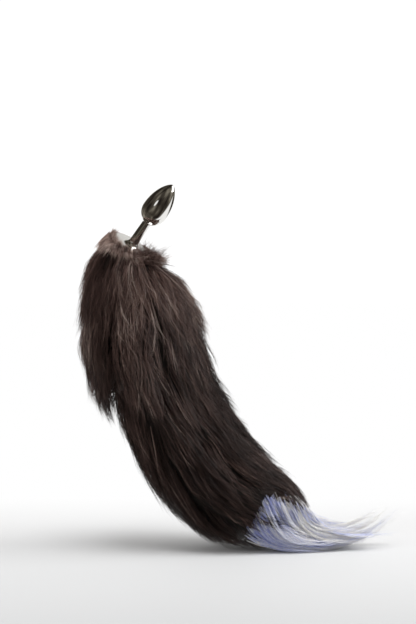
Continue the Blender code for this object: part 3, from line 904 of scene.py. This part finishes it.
@dataclass
class Ruff:
    """The fluff around the flange: a soft roll on the high side, a loose burst on the low side."""

    # The ruff's light tones: partly the hair's own grey, partly painted light from above.
    growth: Growth = field(default_factory=lambda: Growth(
        locks=84, guides=22, hairs=2, points=4, roots=(0, 0), length=(0.019, 0.030), hair_width=0.00034,
        root_spread=0.0010, tip_spread=0.0012, frizz=0.0022, tone=(0.58, 0.95), seed=31))

    def lines(self) -> Guides:
        """Lays the guide lines around the flange.

        Returns:
            The guide lines.
        """
        growth = self.growth
        rng = np.random.default_rng(growth.seed)
        stand = np.array(
            Matrix.Rotation(PLUG_TURN, 3, "Z") @ Matrix.Rotation(math.pi / 2 - PLUG_RISE, 3, "Y"))
        count = growth.locks * growth.guides
        which = np.repeat(np.arange(growth.locks), growth.guides)
        tuft_turn = 2 * math.pi * ((np.arange(growth.locks) * 0.618034) % 1)
        turn = tuft_turn[which] + rng.uniform(-0.16, 0.16, count)
        low_side = np.cos(turn)
        # One on the low side, nought elsewhere: there the hair bursts out every way.
        burst = np.clip((low_side - 0.55) / 0.3, 0, 1)
        radial = np.stack([np.cos(turn), np.sin(turn), np.zeros(count)], axis=1) @ stand.T
        around = np.stack([-np.sin(turn), np.cos(turn), np.zeros(count)], axis=1) @ stand.T
        normal = stand[:, 2]
        out = rng.uniform(-0.0012, 0.0060, count)[:, None]
        sunk = rng.uniform(0.0006, 0.0036, count)[:, None] + np.clip(out, 0, 1) * 0.4
        start = radial * (FLANGE_RADIUS + out) - normal * sunk
        # The low side stands up off the fur, the high side turns over and down.
        near_side = np.clip(-np.sin(turn), 0, 1)
        lift = 0.75 * np.clip(low_side, 0, 1) - 2.4 * np.clip(-low_side, 0, 1) ** 1.3 + 0.4 * near_side
        lift += 0.25 * burst + rng.normal(0, 0.12 + 0.45 * burst, count)
        heading = radial + normal * lift[:, None] + around * (rng.normal(0, 0.08 + 0.50 * burst, count))[:, None]
        heading += rng.normal(0, 0.08, (count, 3))
        heading /= np.linalg.norm(heading, axis=1)[:, None]
        weight = (0.75 - 0.45 * low_side) * rng.uniform(0.8, 1.25, count)
        span = growth.length[0] + (growth.length[1] - growth.length[0]) * rng.random(count)
        length = span * (0.84 + 0.16 * low_side - 0.25 * burst)
        lines = self.drooping(start, heading, length, weight)
        outward = np.repeat((normal + 0.001 * radial)[:, None, :], GUIDE_POINTS, axis=1)
        light = np.where(rng.random(count) < 0.12, 0.3, 0)
        # Darker in the burst, lighter on the high side; the lighter high side is partly painted light from above.
        own = rng.uniform(*growth.tone, growth.locks)[which] - 0.15 * burst + 0.2 * np.clip(-low_side, 0, 1)
        tone = np.clip(own + rng.normal(0, 0.14, count) + light, 0, 1)
        return Guides(lines, outward, tone)

    def drooping(
        self, start: np.ndarray, heading: np.ndarray, length: np.ndarray, weight: np.ndarray
    ) -> np.ndarray:
        """Lets hairs run on from their roots, bending down under their own weight.

        Args:
            start: The roots.
            heading: The directions they set out in.
            length: The hairs' lengths.
            weight: How strongly each bends down.

        Returns:
            The lines' points.
        """
        lines = np.empty((len(start), GUIDE_POINTS, 3))
        lines[:, 0] = start
        for i in range(1, GUIDE_POINTS):
            s = i / (GUIDE_POINTS - 1)
            step = heading + np.array([0, 0, -1.0]) * (weight * s * 1.6)[:, None]
            step /= np.linalg.norm(step, axis=1)[:, None]
            lines[:, i] = lines[:, i - 1] + step * (length / (GUIDE_POINTS - 1))[:, None]
        return lines

    def roll(self) -> Guides:
        """Lays the velvety edge that stands up over the flange's near rim.

        Returns:
            The guide lines.
        """
        rng = np.random.default_rng(self.growth.seed + 2)
        count = 460
        stand = np.array(
            Matrix.Rotation(PLUG_TURN, 3, "Z") @ Matrix.Rotation(math.pi / 2 - PLUG_RISE, 3, "Y"))
        turn = np.radians(rng.uniform(205, 318, count))
        radial = np.stack([np.cos(turn), np.sin(turn), np.zeros(count)], axis=1) @ stand.T
        around = np.stack([-np.sin(turn), np.cos(turn), np.zeros(count)], axis=1) @ stand.T
        normal = stand[:, 2]
        start = radial * (FLANGE_RADIUS + rng.uniform(-0.0004, 0.0032, count))[:, None]
        start = start - normal * rng.uniform(0.0002, 0.0026, count)[:, None]
        heading = normal + radial * rng.normal(-0.12, 0.22, count)[:, None]
        heading += around * rng.normal(0, 0.35, count)[:, None]
        heading /= np.linalg.norm(heading, axis=1)[:, None]
        length = rng.uniform(0.0035, 0.0080, count)
        lines = self.drooping(start, heading, length, rng.uniform(0.0, 0.25, count))
        outward = np.repeat((normal + 0.6 * radial)[:, None, :], GUIDE_POINTS, axis=1)
        return Guides(lines, outward, np.clip(rng.normal(0.95, 0.12, count), 0, 1))

    def burst(self) -> Guides:
        """Lays the whorl on the near low side, where the fur stands out every way.

        Returns:
            The guide lines.
        """
        rng = np.random.default_rng(self.growth.seed + 1)
        count = 640
        start = np.array([0.011, -0.018, -0.016]) + rng.normal(0, 1, (count, 3)) * np.array([0.0075, 0.003, 0.003])
        heading = np.array([0.58, -0.45, 0.62]) + rng.normal(0, 0.62, (count, 3))
        heading[:, 1] = np.minimum(heading[:, 1], 0.1)
        heading /= np.linalg.norm(heading, axis=1)[:, None]
        length = rng.uniform(0.010, 0.025, count)
        lines = self.drooping(start, heading, length, rng.uniform(0.15, 0.6, count))
        outward = np.broadcast_to(np.array([0.5, -0.75, 0.43]), lines.shape).copy()
        tone = np.clip(rng.normal(0.60, 0.2, count), 0, 1)
        return Guides(lines, outward, tone)

    def build(self, tree: HairTree, hair: bpy.types.Material) -> bpy.types.Object:
        """Builds the ruff.

        Args:
            tree: The hair tree.
            hair: The hair's material.

        Returns:
            The piece.
        """
        return dressed(tree.grow("ruff_hair", self.lines().joined(self.burst()).joined(self.roll()), self.growth, hair), Coat.DARK)


@dataclass
class Tuft:
    """The pale blue end of the tail: it falls to the floor, sweeps along it and curls up at its point."""

    form: FurForm
    coats: tuple[Growth, ...] = (
        Growth(locks=30, guides=24, hairs=2, roots=(-0.06, 0.36), length=(0.035, 0.075), seed=41,
               root_reach=(0.60, 0.90), tip_reach=(0.75, 1.08), lock_width=0.006, sway=0.0025,
               tone=(0.0, 0.5), hair_width=0.00042, frizz=0.0026, light_share=0.4, light_gain=(0.5, 0.8),
               wander=0.08, root_spread=0.0005, tip_spread=0.0003),
        Growth(locks=28, guides=22, hairs=2, roots=(0.22, 0.66), length=(0.040, 0.080), seed=42,
               root_reach=(0.30, 0.95), tip_reach=(0.3, 1.15), lock_width=0.006, sway=0.004,
               tone=(0.5, 1.0), hair_width=0.00028, frizz=0.0026, light_share=0.3,
               wander=0.10, root_spread=0.0005, tip_spread=0.0004),
    )
    falling: Growth = field(default_factory=lambda: Growth(
        locks=56, guides=28, hairs=2, roots=(0, 0), length=(0.050, 0.105), hair_width=0.00038,
        root_spread=0.0005, tip_spread=0.0004, frizz=0.0022, tone=(0.0, 0.55), light_share=0.42,
        light_gain=(0.45, 0.8), seed=43))

    def cascade(self) -> Guides:
        """Lays the outer strands, which fall steeply from the dark fur's edge and then turn along the floor.

        Returns:
            The guide lines.
        """
        growth = self.falling
        rng = np.random.default_rng(growth.seed)
        count = growth.locks * growth.guides
        which = np.repeat(np.arange(growth.locks), growth.guides)
        # The near side's roots follow the dark fur's slanting edge, the rest lie under its overhang.
        place = ((np.arange(growth.locks) * 0.618034) % 1)[which] + rng.normal(0, 0.03, count)
        knots = [0, 0.15, 0.30, 0.42, 0.55, 0.70, 0.82, 1.0]
        across = np.interp(place, knots, [0.122, 0.129, 0.135, 0.140, 0.150, 0.160, 0.172, 0.186])
        height = np.interp(place, knots, [-0.295, -0.282, -0.269, -0.259, -0.262, -0.266, -0.272, -0.281])
        depth = np.interp(place, knots, [-0.040, -0.046, -0.046, -0.044, -0.040, -0.036, -0.029, -0.017])
        side = np.where(rng.random(growth.locks) < 0.8, 0.90, -0.8)[which] * rng.uniform(0.88, 1.02, count)
        start = np.stack([across, depth * side, height], axis=1)
        start = start + rng.normal(0, 1, (count, 3)) * np.array([0.0030, 0.0012, 0.0032])
        rest = -SEAT_HEIGHT + 0.001 + 0.020 * np.clip(place, 0, 1) * rng.uniform(0.2, 1.0, growth.locks)[which]
        fan = rng.normal(0, 0.10, growth.locks)[which] + rng.normal(0, 0.05, count) - 5.0 * depth * np.sign(side)
        length = rng.uniform(*growth.length, growth.locks)[which] * rng.uniform(0.6, 1.1, count)
        length = np.minimum(length, 0.281 - across)
        curl = rng.uniform(0.2, 0.6, growth.locks)[which]
        lines = np.empty((count, GUIDE_POINTS, 3))
        lines[:, 0] = start
        for i in range(1, GUIDE_POINTS):
            here = lines[:, i - 1]
            lying = 1 - np.clip((here[:, 2] - rest) / 0.026, 0, 1)
            rising = np.clip((here[:, 0] - 0.215) / 0.05, 0, 1) * curl
            step = np.stack([0.42 + 0.58 * lying, fan, -0.9 * (1 - lying) + rising], axis=1)
            step /= np.linalg.norm(step, axis=1)[:, None]
            lines[:, i] = here + step * (length / (GUIDE_POINTS - 1))[:, None]
        lines[:, :, 2] = np.maximum(lines[:, :, 2], -SEAT_HEIGHT + FLOOR_CLEARANCE)
        outward = np.broadcast_to(np.array([0.25, -0.75, 0.6]), lines.shape).copy()
        light = np.where(rng.random(count) < growth.light_share, rng.uniform(*growth.light_gain, count), 0)
        own = rng.uniform(*growth.tone, growth.locks)[which] + 0.25 * place
        tone = np.clip(own + rng.normal(0, 0.12, count) + light, 0, 1)
        return Guides(lines, outward, tone)

    def build(self, tree: HairTree, hair: bpy.types.Material, wool: bpy.types.Material) -> list[bpy.types.Object]:
        """Builds the undercoat and the hair.

        Args:
            tree: The hair tree.
            hair: The guard hair's material.
            wool: The undercoat's material.

        Returns:
            The pieces.
        """
        body = undercoat("tuft_undercoat", self.form, (-0.14, 0.56), 0.74, wool, 7)
        pieces = [dressed(body, Coat.PALE, "pale_tip")]
        for number, growth in enumerate(self.coats):
            guides = grow_guides(self.form, growth)
            pieces.append(dressed(tree.grow(f"tuft_hair_{number + 1}", guides, growth, hair), Coat.PALE))
        pieces.append(dressed(tree.grow("tuft_fall", self.cascade(), self.falling, hair), Coat.PALE))
        return pieces


@dataclass
class Plug:
    """The bulb, neck and flange, turned in one piece, and the cup under them."""

    bulb_diameter: float = 0.028
    bulb_length: float = 0.049
    bulb_widest: float = 0.0155
    bulb_taper: float = 0.7
    neck_diameter: float = 0.0092
    neck_root_diameter: float = 0.0100
    neck_length: float = 0.030
    neck_fillet: float = 0.006
    flange_edge: float = 0.0018
    sides: int = 96
    polished: PolishedSteel = field(default_factory=PolishedSteel)
    plain: TurnedSteel = field(default_factory=TurnedSteel)

    def bulb_radius(self, height: np.ndarray) -> np.ndarray:
        """Gives the bulb's radius.

        Args:
            height: Heights above the neck's end.

        Returns:
            The radius at each height.
        """
        base = self.neck_diameter / self.bulb_diameter
        below = np.clip((self.bulb_widest - height) / self.bulb_widest, 0, 1) * math.sqrt(1 - base * base)
        above = np.clip((height - self.bulb_widest) / (self.bulb_length - self.bulb_widest), 0, 1)
        return self.bulb_diameter / 2 * np.where(
            height < self.bulb_widest, np.sqrt(1 - below ** 2), (1 - above ** 2) ** self.bulb_taper)

    def profile(self) -> np.ndarray:
        """Gives the outline from the flange's back to the bulb's point, as radius and height."""
        def arc(radius: float, height: float, size: float, start: float, end: float, steps: int) -> np.ndarray:
            """Returns points on a round, from one angle to another in degrees."""
            turn = np.radians(np.linspace(start, end, steps))
            return np.stack([radius + size * np.cos(turn), height + size * np.sin(turn)], axis=1)

        rim = FLANGE_RADIUS - self.flange_edge
        root = self.neck_root_diameter / 2 + self.neck_fillet
        lower = self.bulb_widest * (1 - np.cos(np.linspace(0, math.pi / 2, 18)))
        upper = self.bulb_widest + (self.bulb_length - self.bulb_widest) * np.sin(
            np.linspace(0, math.pi / 2, 34)[1:-1])
        heights = np.concatenate([lower, upper])
        bulb = np.stack([self.bulb_radius(heights), self.neck_length + heights], axis=1)
        return np.concatenate([
            arc(rim, self.flange_edge - FLANGE_THICKNESS, self.flange_edge, -90, 0, 8),
            arc(rim, -self.flange_edge, self.flange_edge, 0, 90, 8),
            arc(root, self.neck_fillet, self.neck_fillet, 270, 180, 14),
            bulb,
        ])

    def build(self) -> bpy.types.Object:
        """Turns the plug finely enough for its mirror finish.

        Returns:
            The piece.
        """
        profile = self.profile()
        turn = np.linspace(0, 2 * math.pi, self.sides, endpoint=False)
        rings = np.stack([
            profile[:, :1] * np.cos(turn), profile[:, :1] * np.sin(turn),
            np.repeat(profile[:, 1:], self.sides, axis=1),
        ], axis=2).reshape(-1, 3)
        poles = np.array([[0, 0, -FLANGE_THICKNESS], [0, 0, self.neck_length + self.bulb_length]])
        stand = np.array(
            Matrix.Rotation(PLUG_TURN, 3, "Z") @ Matrix.Rotation(math.pi / 2 - PLUG_RISE, 3, "Y"))
        points = np.concatenate([rings, poles]) @ stand.T
        faces = []
        for k in range(self.sides):
            after = (k + 1) % self.sides
            faces.append((len(rings), after, k))
            for i in range(len(profile) - 1):
                first = i * self.sides
                faces.append((first + k, first + after, first + self.sides + after, first + self.sides + k))
            last = (len(profile) - 1) * self.sides
            faces.append((len(rings) + 1, last + k, last + after))
        mesh = bpy.data.meshes.new("turned_plug")
        mesh.from_pydata(points.tolist(), [], faces)
        mesh.shade_smooth()
        mesh.set_sharp_from_angle(angle=math.radians(32))
        mesh.materials.append(self.polished.make())
        made = bpy.data.objects.new("turned_plug", mesh)
        bpy.context.scene.collection.objects.link(made)
        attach(made, "root")
        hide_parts("plug")
        LOG.info("turned_plug: %d triangles", triangles(made))
        return made

    def dress(self, nodes: dict[str, bpy.types.Object]) -> None:
        """Gives the socket, which stays as the frame has it, its finish.

        Args:
            nodes: The frame's nodes by name.
        """
        for slot in nodes["tail_socket"].material_slots:
            slot.material = self.plain.make()
        LOG.info("tail_socket: dressed")


@dataclass
class Studio:
    """A white sweep, a wide softbox overhead, and the camera at the photograph's angle."""

    distance: float = 1.525
    pitch: float = math.radians(2.0)
    target: tuple[float, float, float] = (0.079, 0.0, -0.069)

    def build(self) -> None:
        """Builds the floor, the lights, the surroundings and the camera."""
        self.floor()
        over = self.softbox("overhead_softbox", (0.0, -0.28, 0.85), (math.radians(-18), math.radians(-5), 0), 0.5, 9.5)
        over.visible_glossy = False
        self.softbox("side_softbox", (1.1, -0.1, 0.45), (0, math.radians(66), 0), 0.8, 8.8)
        fill = self.softbox("left_fill", (-0.9, -0.6, 0.25), (math.radians(68), 0, math.radians(-56)), 0.6, 5.2)
        fill.visible_glossy = False
        self.surroundings()
        self.camera()

    def floor(self) -> None:
        """Lays the pale floor, greyer towards the camera as painted shade and glowing white towards the back as
        painted light.
        """
        mesh = bpy.data.meshes.new("floor")
        z = -SEAT_HEIGHT - 0.0002
        mesh.from_pydata([(-9, -9, z), (9, -9, z), (9, 9, z), (-9, 9, z)], [], [(0, 1, 2, 3)])
        made, shader = new_material("white_floor_painted_shade_and_glow")
        tree = made.node_tree
        shader.inputs["Roughness"].default_value = 0.6
        shader.inputs["Specular IOR Level"].default_value = 0.2
        # Painted light: the sweep runs up to a lit white wall, so the floor is mixed into a white glow towards the
        # back and far off.
        place = add_node(tree, "ShaderNodeTexCoord").outputs["Object"]
        parts = add_node(tree, "ShaderNodeSeparateXYZ", links={0: place})
        # Painted shade: it is greyer towards the camera, where the wall no longer lights it.
        painted_shade_nearer = add_node(tree, "ShaderNodeMapRange", links={
            "Value": parts.outputs["Y"], "From Min": -0.34, "From Max": 0.06}).outputs["Result"]
        tree.links.new(
            add_ramp(tree, painted_shade_nearer, ((0.0, "#b7b8b9"), (1.0, "#d2d3d4"))), shader.inputs["Base Color"])
        behind = add_node(tree, "ShaderNodeMapRange", {"interpolation_type": "SMOOTHSTEP"}, {
            "Value": parts.outputs["Y"], "From Min": -0.04, "From Max": 0.33})
        away = add_node(tree, "ShaderNodeVectorMath", {"operation": "DISTANCE"}, {0: place, 1: (0.1, 0.0, z)})
        far = add_node(tree, "ShaderNodeMapRange", {"interpolation_type": "SMOOTHSTEP"}, {
            "Value": away.outputs["Value"], "From Min": 0.50, "From Max": 1.0})
        fade = add_node(tree, "ShaderNodeMath", {"operation": "MAXIMUM"}, {
            0: behind.outputs["Result"], 1: far.outputs["Result"]})
        # The painted glow: an emission, though the floor is no lamp.
        lit = add_node(tree, "ShaderNodeEmission", links={"Color": linear("#ffffff"), "Strength": 1.0})
        mixed = add_node(tree, "ShaderNodeMixShader", links={
            0: fade.outputs[0], 1: shader.outputs[0], 2: lit.outputs[0]})
        tree.links.new(mixed.outputs[0], tree.nodes["Material Output"].inputs["Surface"])
        mesh.materials.append(made)
        plane = bpy.data.objects.new("floor", mesh)
        plane.visible_glossy = False
        bpy.context.scene.collection.objects.link(plane)

    def softbox(
        self, name: str, place: tuple[float, float, float], turn: tuple[float, float, float],
        size: float, power: float,
    ) -> bpy.types.Object:
        """Adds a square area light.

        Args:
            name: The light's name.
            place: Where it stands.
            turn: Its rotation.
            size: Its side.
            power: Its power in watts.

        Returns:
            The light.
        """
        light = bpy.data.lights.new(name, "AREA")
        light.size = size
        light.energy = power
        made = bpy.data.objects.new(name, light)
        made.location = place
        made.rotation_euler = turn
        bpy.context.scene.collection.objects.link(made)
        return made

    def surroundings(self) -> None:
        """Makes the room: a lit white sweep behind the object, and a dark studio around it."""
        world = bpy.data.worlds.new("white_sweep_room")
        bpy.context.scene.world = world
        world.use_nodes = True
        tree = world.node_tree
        tree.nodes.clear()
        direction = add_node(tree, "ShaderNodeTexCoord").outputs["Generated"]
        # What the mirror shows: a lit sweep low behind, a panel high behind and a small lamp, in a dark room.
        facing = add_node(tree, "ShaderNodeVectorMath", {"operation": "DOT_PRODUCT"}, {
            0: direction, 1: (0.20, 0.70, -0.68)})
        low = add_node(tree, "ShaderNodeMapRange", {"interpolation_type": "SMOOTHSTEP"}, {
            "Value": facing.outputs["Value"], "From Min": 0.40, "From Max": 0.56}).outputs["Result"]
        above = add_node(tree, "ShaderNodeVectorMath", {"operation": "DOT_PRODUCT"}, {
            0: direction, 1: (0.35, 0.80, 0.49)})
        high = add_node(tree, "ShaderNodeMapRange", {"interpolation_type": "SMOOTHSTEP"}, {
            "Value": above.outputs["Value"], "From Min": 0.90, "From Max": 0.97}).outputs["Result"]
        # The sweep's edge: it gives the steel a dark line down its right side, where the backdrop is white too.
        edge = add_node(tree, "ShaderNodeVectorMath", {"operation": "DOT_PRODUCT"}, {
            0: direction, 1: (0.75, 0.66, 0.0)})
        dark = add_node(tree, "ShaderNodeMapRange", {"interpolation_type": "SMOOTHSTEP"}, {
            "Value": edge.outputs["Value"], "From Min": 0.86, "From Max": 0.93}).outputs["Result"]
        lamp = add_node(tree, "ShaderNodeVectorMath", {"operation": "DOT_PRODUCT"}, {
            0: direction, 1: (-0.51, -0.85, 0.11)})
        small = add_node(tree, "ShaderNodeMapRange", {"interpolation_type": "SMOOTHSTEP"}, {
            "Value": lamp.outputs["Value"], "From Min": 0.984, "From Max": 0.994}).outputs["Result"]
        dimmer = add_node(tree, "ShaderNodeMath", {"operation": "MULTIPLY"}, {0: high, 1: 0.62})
        panels = add_node(tree, "ShaderNodeMath", {"operation": "MAXIMUM"}, {0: low, 1: dimmer.outputs[0]})
        bounded = add_node(tree, "ShaderNodeMath", {"operation": "SUBTRACT", "use_clamp": True}, {
            0: panels.outputs[0], 1: dark})
        sweep = add_node(tree, "ShaderNodeMath", {"operation": "MAXIMUM"}, {0: bounded.outputs[0], 1: small})
        clutter = add_node(tree, "ShaderNodeTexNoise", links={
            "Vector": direction, "Scale": 1.3, "Detail": 2.0, "Roughness": 0.5})
        room = add_ramp(tree, clutter.outputs["Fac"], (
            (0.34, "#221e1a"), (0.50, "#4a453d"), (0.62, "#7d776c"), (0.74, "#a8a297")))
        mirrored = add_node(tree, "ShaderNodeMix", {"data_type": "RGBA"}, {"Factor": sweep.outputs[0]})
        tree.links.new(room, mirrored.inputs[6])
        mirrored.inputs[7].default_value = linear("#ffffff")
        # What lights the fur: bright from above and behind, dimmer from below.
        toward = add_node(tree, "ShaderNodeVectorMath", {"operation": "DOT_PRODUCT"}, {
            0: direction, 1: (0.35, 0.45, 0.82)})
        sky = add_ramp(tree, add_node(tree, "ShaderNodeMapRange", links={
            "Value": toward.outputs["Value"], "From Min": -1.0, "From Max": 1.0}).outputs["Result"], (
                (0.15, "#4a4846"), (0.5, "#7b7876"), (0.85, "#e0dedc")))
        seen = add_node(tree, "ShaderNodeBackground", links={"Color": linear("#ffffff"), "Strength": 1.05})
        lit = add_node(tree, "ShaderNodeBackground", links={"Color": sky, "Strength": 1.0})
        shown = add_node(tree, "ShaderNodeBackground", links={"Color": mirrored.outputs[2], "Strength": 1.15})
        path = add_node(tree, "ShaderNodeLightPath").outputs
        indirect = add_node(tree, "ShaderNodeMixShader", links={
            0: path["Is Glossy Ray"], 1: lit.outputs[0], 2: shown.outputs[0]})
        mixed = add_node(tree, "ShaderNodeMixShader", links={
            0: path["Is Camera Ray"], 1: indirect.outputs[0], 2: seen.outputs[0]})
        add_node(tree, "ShaderNodeOutputWorld", links={0: mixed.outputs[0]})

    def camera(self) -> None:
        """Sets the camera: an 85 mm lens, nearly level."""
        data = bpy.data.cameras.new("camera")
        data.lens = 85.0
        data.sensor_fit = "VERTICAL"
        data.sensor_height = 36.0
        data.clip_start = 0.05
        made = bpy.data.objects.new("camera", data)
        made.rotation_euler = (math.pi / 2 - self.pitch, 0, 0)
        made.location = (
            self.target[0],
            self.target[1] - self.distance * math.cos(self.pitch),
            self.target[2] + self.distance * math.sin(self.pitch),
        )
        bpy.context.scene.collection.objects.link(made)
        bpy.context.scene.camera = made
        bpy.context.scene.view_settings.view_transform = "Standard"


def tuft_form(brush: FurForm) -> FurForm:
    """Places the tuft's form at the end of the dark fur.

    Args:
        brush: The dark tail's form.

    Returns:
        The tuft's form.
    """
    end = brush.points(np.array([BRUSH_BACKING_END]), np.zeros(1), np.zeros(1))[0]
    return FurForm(TIP, end, (TIP_REACH, end[2] + SEAT_HEIGHT, TIP_HALF_WIDTH, TIP_HALF_DEPTH))


def main() -> None:
    """Builds the classes in order."""
    logging.basicConfig(level=logging.INFO, format="%(name)s: %(message)s")
    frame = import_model()
    tree = HairTree()
    dark_hair, dark_wool = DARK_HAIR.make(), DARK_UNDERFUR.make()
    pale_hair, pale_wool = PALE_HAIR.make(), PALE_UNDERFUR.make()
    plug = Plug()
    plug.build()
    plug.dress(frame["nodes"])
    Mantle().build(tree, dark_hair, dark_wool)
    brush = Brush()
    brush.build(tree, dark_hair, dark_wool)
    Ruff().build(tree, dark_hair)
    Tuft(form=tuft_form(brush.form)).build(tree, pale_hair, pale_wool)
    Studio().build()


if __name__ == "__main__":
    main()
